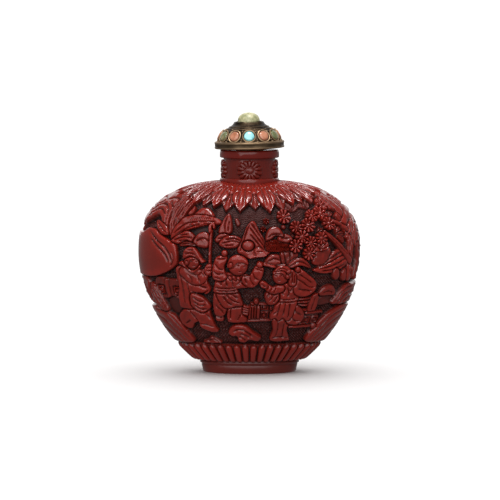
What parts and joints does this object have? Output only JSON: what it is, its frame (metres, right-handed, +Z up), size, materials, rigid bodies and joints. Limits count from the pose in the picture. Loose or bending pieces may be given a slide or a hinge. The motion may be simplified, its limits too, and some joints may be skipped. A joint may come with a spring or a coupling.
{
  "type": "snuff bottle",
  "caption": "Flattened carved lacquer snuff bottle, hollow, on an oval foot, with a jewelled domed metal stopper over a cork.",
  "frame": {"origin": "centre of the underside of the foot rim", "axes": "+Z up through the neck and stopper, the front faces -Y, +X is to the right as seen from the front"},
  "size_m": [0.062, 0.0372, 0.0722],
  "materials": {
    "lacquer": "deep red carved cinnabar lacquer, polished on the high places, dark with old grime in the cut ground",
    "gilt_metal": "cast and chased copper alloy with worn gilding and dark brown patina",
    "cork": "natural cork",
    "jade": "polished pale green jade cabochon",
    "turquoise": "polished turquoise cabochon",
    "coral": "polished coral cabochon",
    "green_stone": "polished green hardstone cabochon"
  },
  "bodies": {
    "root": {"bottle": "lacquer", "stopper_cap": "gilt_metal", "stopper_cork": "cork", "jade_knob": "jade", "set_stone_01_turquoise": "turquoise", "set_stone_02_coral": "coral", "set_stone_03_green_stone": "green_stone", "set_stone_04_coral": "coral", "set_stone_05_turquoise": "turquoise", "set_stone_06_coral": "coral", "set_stone_07_green_stone": "green_stone", "set_stone_08_coral": "coral", "set_stone_09_turquoise": "turquoise", "set_stone_10_coral": "coral", "set_stone_11_green_stone": "green_stone", "set_stone_12_coral": "coral"}
  },
  "joints": []
}
